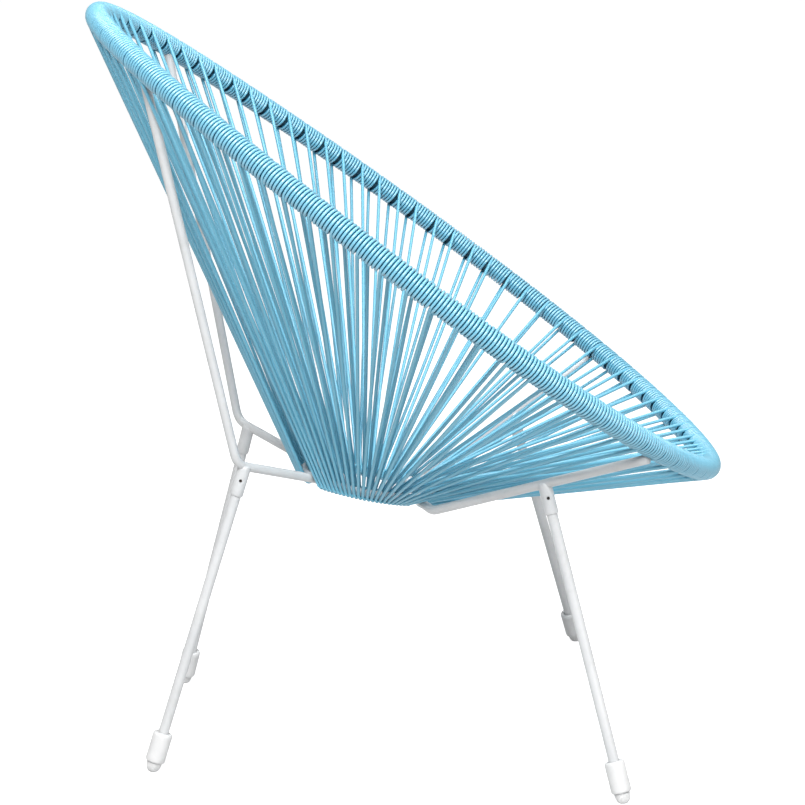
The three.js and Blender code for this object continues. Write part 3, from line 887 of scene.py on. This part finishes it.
def screw(place, axis):
    profile = [
        (0, SCREW_ROOT),
        (SCREW_RADIUS, SCREW_ROOT),
        *[(SCREW_RADIUS - inset, z) for inset, z in SCREW_EDGE],
        *SCREW_RECESS,
    ]
    points, faces = lathe(profile, SCREW_SIDES)
    seat = np.array([SOCKET_RADIUS - FIT_GAP - SCREW_LENGTH, 0, -SCREW_BELOW_ARM])
    points = along_leg(points[:, [2, 0, 1]] + seat, axis)
    make_object(f"screw_{place}", points, faces, "screw_metal", f"leg_screw_{place}")


def sleeve(place, axis, length):
    low = -(length - TIP_LENGTH)
    high = low + SLEEVE_LENGTH
    bore = LEG_RADIUS + SLEEVE_GAP
    plain = np.linspace(low + SLEEVE_RINGS_IN, high - SLEEVE_RINGS_IN, SLEEVE_RINGS)
    profile = [
        (STUD_BORE, low),
        *[(SLEEVE_RADIUS - inset, low + z) for inset, z in SLEEVE_LOW_EDGE],
        *[(SLEEVE_RADIUS, z) for z in plain],
        *[(SLEEVE_RADIUS - inset, high - z) for inset, z in SLEEVE_HIGH_EDGE],
        *[(bore + wider, high - z) for wider, z in SLEEVE_MOUTH],
        (bore, low + SLEEVE_FLOOR),
        (STUD_BORE, low + SLEEVE_FLOOR),
        (STUD_BORE, low),
    ]
    replaced = f"foot_sleeve_{place}"
    on_leg(f"sleeve_{place}", profile, SLEEVE_SIDES, axis, "white_plastic", replaced)


def fluted(row, radius, angles):
    """A tip's radii at one height: flutes round it, and faint bands one above the other."""
    if row not in FLUTED_ROWS:
        return np.full(len(angles), radius)
    band = 0.5 + 0.5 * math.cos(row * TURN / BAND_ROWS)
    groove = np.clip(np.cos(angles * FLUTES) * FLUTE_STEEPNESS, -1, 1)
    return radius - FLUTE_DEPTH * (0.5 - 0.5 * groove) - BAND_DEPTH * band


def tip(place, axis, length):
    """The ribbed button under the sleeve: flutes round its side and its dome."""
    top = -(length - TIP_LENGTH) - FIT_GAP
    bottom = -length - TIP_BELOW_FLOOR
    dome_limit, side_top = (top - depth for depth in TIP_EDGE_DEPTHS)
    profile = [(0.0, bottom)]
    for i in range(1, TIP_ROWS):
        a = i / TIP_ROWS * math.pi / 2
        z = bottom + (top - bottom) * (1 - math.cos(a))
        profile.append((TIP_RADIUS * math.sin(a) ** TIP_ROUNDNESS, min(z, dome_limit)))
    profile += [
        (TIP_RADIUS, side_top),
        (TIP_RADIUS - TIP_EDGE, top),
        (STUD_RADIUS, top),
        (STUD_RADIUS, top + SLEEVE_FLOOR),
        (0.0, top + SLEEVE_FLOOR),
    ]
    points, faces = lathe(profile, FLUTES * FLUTE_SIDES, fluted)
    points = along_leg(points, axis)
    points[:, 2] = np.maximum(points[:, 2], 0.0)
    make_object(f"tip_{place}", points, faces, "white_plastic", f"foot_tip_{place}")


steel()
legs()

# Painted shade: the hoop under the winding is coloured near-black teal with little shine, so the
# gaps between turns show as shadow.
HOOP_PAINTED_SHADE = paint_material("hoop_painted_shade", (0.014, 0.050, 0.075), (0.024, 0.070, 0.100))
HOOP_PAINTED_SHADE.node_tree.nodes["Principled BSDF"].inputs["Specular IOR Level"].default_value = 0.1
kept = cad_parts["rim_hoop"]
kept.data.materials.clear()
kept.data.materials.append(HOOP_PAINTED_SHADE)


# ---------------------------------------------------------------- camera, floor and light

CAMERA_PLACE = (-2513.8, 75.0, 952.1)
YAW, PITCH, ROLL = (math.radians(a) for a in (-1.465, 12.575, -0.915))
PICTURE_WIDTH = 805
FOCAL_PIXELS = 2200
SENSOR = 36.0
CLIP_END = 100  # metres, like all that follows

WORLD_LIGHT = 0.20  # on the object; seen directly, the world is white
FLOOR_HALF = 40.0
FLOOR_GREY = 0.5
FLOOR_GLOW = 0.91  # seen directly
LAMPS = (  # name, place, aim, diameter, watts
    ("key", (-2.0, 0.4, 2.5), (0, 0, 0.45), 1.8, 115),
    ("top", (0.1, -0.9, 3.3), (0, 0, 0.45), 1.6, 48),
    ("fill", (-2.6, -1.6, 1.0), (0, 0, 0.5), 2.0, 24),
)
LAMP_GUIDE = (0.01, 1, 0.02)  # no lamp shines along it


def camera():
    forward = np.array(
        [math.cos(YAW) * math.cos(PITCH), math.sin(YAW) * math.cos(PITCH), -math.sin(PITCH)]
    )
    right = unit(np.cross(forward, (0, 0, 1)))
    up = np.cross(right, forward)
    right, up = (
        math.cos(ROLL) * right + math.sin(ROLL) * up,
        -math.sin(ROLL) * right + math.cos(ROLL) * up,
    )
    data = bpy.data.cameras.new("camera")
    data.sensor_width = SENSOR
    data.lens = FOCAL_PIXELS / PICTURE_WIDTH * SENSOR
    data.clip_end = CLIP_END
    obj = bpy.data.objects.new("camera", data)
    turn = Matrix((right, up, -forward)).transposed().to_4x4()
    obj.matrix_world = Matrix.Translation([c * MM for c in CAMERA_PLACE]) @ turn
    bpy.context.scene.collection.objects.link(obj)
    bpy.context.scene.camera = obj


def area_light(name, place, aim, size, power):
    data = bpy.data.lights.new(name, "AREA")
    data.shape = "DISK"
    data.size = size
    data.energy = power
    obj = bpy.data.objects.new(name, data)
    back = unit(np.array(place, float) - np.array(aim, float))
    side = unit(np.cross(LAMP_GUIDE, back))
    turn = Matrix((side, np.cross(back, side), back)).transposed().to_4x4()
    obj.matrix_world = Matrix.Translation(place) @ turn
    bpy.context.scene.collection.objects.link(obj)


def surroundings():
    world = bpy.data.worlds.new("studio")
    bpy.context.scene.world = world
    tree = Tree(world)
    background = tree.nodes["Background"]
    background.inputs["Color"].default_value = (*WHITE, 1)
    strength = tree.spread(tree.seen_directly(), WORLD_LIGHT, 1.0, over=(0.0, 1.0))
    tree.link(strength, background.inputs["Strength"])


def floor():
    """A plain floor that keeps the object's shadow and is white where it is seen directly."""
    half = FLOOR_HALF
    corners = [(-half, -half, 0), (half, -half, 0), (half, half, 0), (-half, half, 0)]
    mesh = bpy.data.meshes.new("floor")
    mesh.from_pydata(corners, [], [(0, 1, 2, 3)])
    obj = bpy.data.objects.new("floor", mesh)
    bpy.context.scene.collection.objects.link(obj)
    tree, shader = new_material("floor")
    tree.nodes.remove(shader)
    diffuse = tree.add("BsdfDiffuse")
    diffuse.inputs["Color"].default_value = (FLOOR_GREY, FLOOR_GREY, FLOOR_GREY, 1)
    glow = tree.add("Emission")
    glow.inputs["Color"].default_value = (*WHITE, 1)
    lift = tree.spread(tree.seen_directly(), 0.0, FLOOR_GLOW, over=(0.0, 1.0))
    tree.link(lift, glow.inputs["Strength"])
    both = tree.add("AddShader")
    tree.link(diffuse.outputs[0], both.inputs[0])
    tree.link(glow.outputs[0], both.inputs[1])
    tree.link(both.outputs[0], tree.nodes["Material Output"].inputs["Surface"])
    mesh.materials.append(tree.owner)


camera()
surroundings()
floor()
for lamp in LAMPS:
    area_light(*lamp)

bpy.context.scene.view_settings.view_transform = "Standard"
